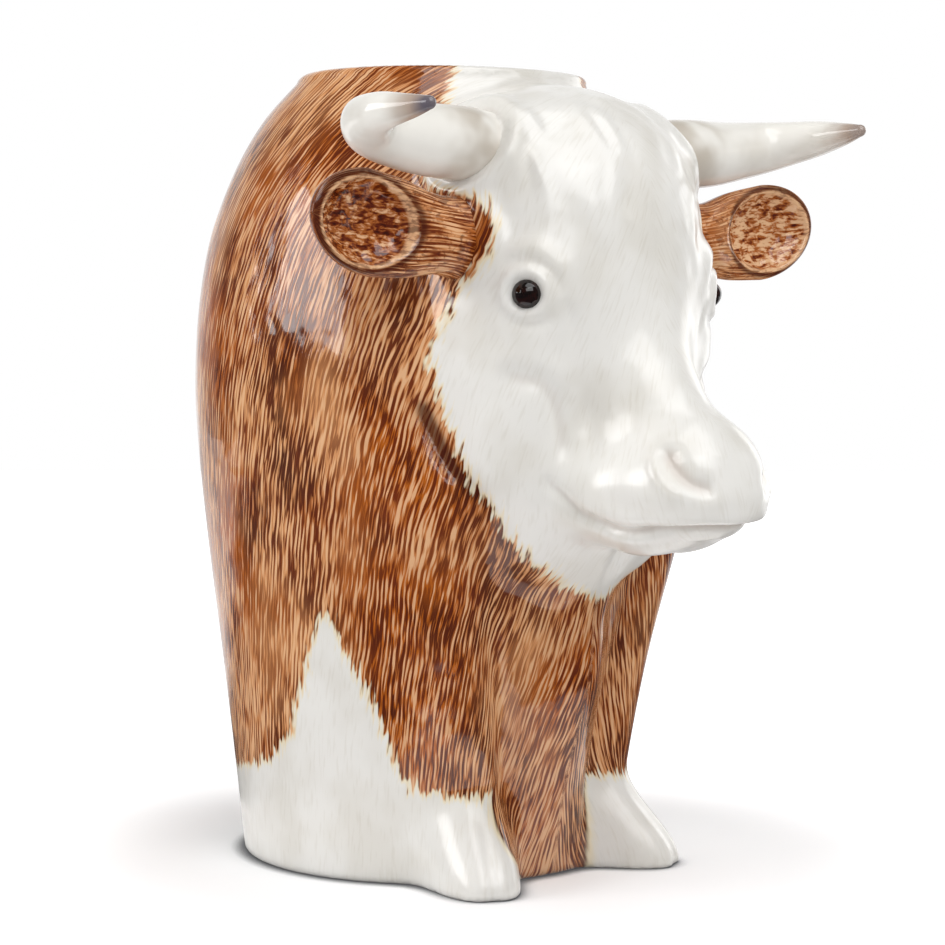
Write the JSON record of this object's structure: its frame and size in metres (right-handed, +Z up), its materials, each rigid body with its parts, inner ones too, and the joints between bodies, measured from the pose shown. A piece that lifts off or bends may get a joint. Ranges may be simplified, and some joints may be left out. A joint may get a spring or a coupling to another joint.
{
  "type": "figural vase",
  "caption": "Hollow glazed earthenware vase in the form of a bull's forequarters, with an open rim above the shoulders, horned head and cupped ears.",
  "frame": {"origin": "on the ground, under the middle of the vase's bounding box", "axes": "+Z up through the rim, -Y ahead along the muzzle, +X to the bull's left"},
  "size_m": [0.179, 0.1892, 0.215],
  "materials": {
    "coat_glaze": "gloss",
    "face_glaze": "gloss",
    "horn_glaze": "gloss",
    "ear_glaze": "gloss"
  },
  "bodies": {
    "root": {"vase_body": "coat_glaze", "head": "face_glaze", "horn_left": "horn_glaze", "horn_right": "horn_glaze", "ear_left": "ear_glaze", "ear_right": "ear_glaze"}
  },
  "joints": []
}
